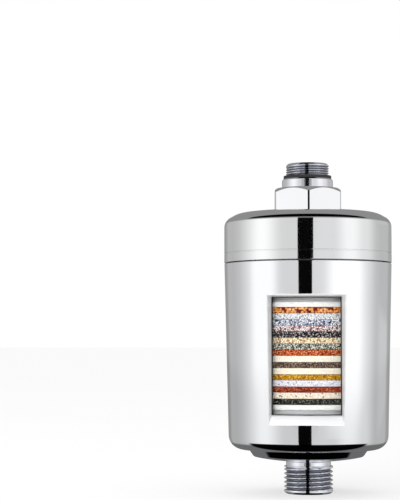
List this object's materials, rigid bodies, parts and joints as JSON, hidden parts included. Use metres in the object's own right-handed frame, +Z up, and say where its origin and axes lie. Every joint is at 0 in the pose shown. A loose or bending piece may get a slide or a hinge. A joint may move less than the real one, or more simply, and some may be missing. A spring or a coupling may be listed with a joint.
{
  "type": "faucet water filter",
  "caption": "Round chromed tap water filter with a captive union nut above, a sight window on a layered cartridge and a threaded outlet below.",
  "frame": {"origin": "centre of the outlet's rim, the lowest plane of the object", "axes": "+Z up along the axis of the filter, towards the tap; the sight window faces -Y"},
  "size_m": [0.072, 0.072, 0.1415],
  "materials": {
    "chrome_shell": "plated, polished",
    "chrome_cap": "plated, polished",
    "chrome_fittings": "plated, polished",
    "chrome_nut": "plated, polished",
    "plain_brass": "turned",
    "clear_sleeve": "clear",
    "clear_tube": "clear",
    "black_rubber": "matt",
    "white_rubber": "matt",
    "steel_mesh": "woven",
    "white_plastic": "moulded",
    "white_wadding": "fibrous",
    "media_01": "granular",
    "media_02": "granular",
    "media_03": "granular",
    "media_04": "granular",
    "media_05": "granular",
    "media_06": "granular",
    "media_07": "granular",
    "media_08": "granular",
    "media_09": "granular",
    "media_10": "granular",
    "media_11": "granular",
    "media_12": "granular",
    "media_13": "granular",
    "media_14": "granular",
    "media_15": "granular",
    "media_16": "granular"
  },
  "bodies": {
    "body": {"housing": "chrome_shell", "outlet_fitting": "chrome_fittings", "outlet_seal": "black_rubber", "sight_sleeve": "clear_sleeve", "sleeve_seal": "black_rubber", "window_gasket": "black_rubber", "cartridge_tube": "clear_tube", "cartridge_top_lid": "white_plastic", "cartridge_bottom_lid": "white_plastic", "cartridge_top_seal": "white_rubber", "cartridge_bottom_seal": "white_rubber", "top_screen": "steel_mesh", "bottom_screen": "steel_mesh", "top_pad": "white_wadding", "bottom_pad": "white_wadding", "media_layer_01": "media_01", "media_layer_02": "media_02", "media_layer_03": "media_03", "media_layer_04": "media_04", "media_layer_05": "media_05", "media_layer_06": "media_06", "media_layer_07": "media_07", "media_layer_08": "media_08", "media_layer_09": "media_09", "media_layer_10": "media_10", "media_layer_11": "media_11", "media_layer_12": "media_12", "media_layer_13": "media_13", "media_layer_14": "media_14", "media_layer_15": "media_15", "media_layer_16": "media_16"},
    "cap_ring": {"cap_seal": "black_rubber"},
    "cap": {"top_cap": "chrome_cap", "inlet_tail": "plain_brass", "tail_seal": "black_rubber"},
    "union": {"union_nut": "chrome_nut", "inlet_washer": "black_rubber", "inlet_screen": "steel_mesh"},
    "adapter_ring": {"adapter_washer": "black_rubber"},
    "adapter": {"spout_adapter": "chrome_fittings"}
  },
  "joints": [
    {"name": "cap_lift", "type": "slide", "parent": "body", "child": "cap_ring", "axis": [0, 0, 1], "range_m": [0, 0.009]},
    {"name": "cap_turn", "type": "hinge", "parent": "cap_ring", "child": "cap", "pos_m": [0, 0, 0.09865], "axis": [0, 0, 1], "range_deg": [0, 1080]},
    {"name": "nut_spin", "type": "hinge", "parent": "cap", "child": "union", "pos_m": [0, 0, 0.1207], "axis": [0, 0, 1], "continuous": true},
    {"name": "adapter_lift", "type": "slide", "parent": "union", "child": "adapter_ring", "axis": [0, 0, 1], "range_m": [0, 0.00399]},
    {"name": "adapter_turn", "type": "hinge", "parent": "adapter_ring", "child": "adapter", "pos_m": [0, 0, 0.13085], "axis": [0, 0, 1], "range_deg": [0, 792]}
  ],
  "couplings": [
    {"joint": "cap_lift", "follows": "cap_turn", "m_per_rad": 0.00047746},
    {"joint": "adapter_lift", "follows": "adapter_turn", "m_per_rad": 0.0002887}
  ]
}
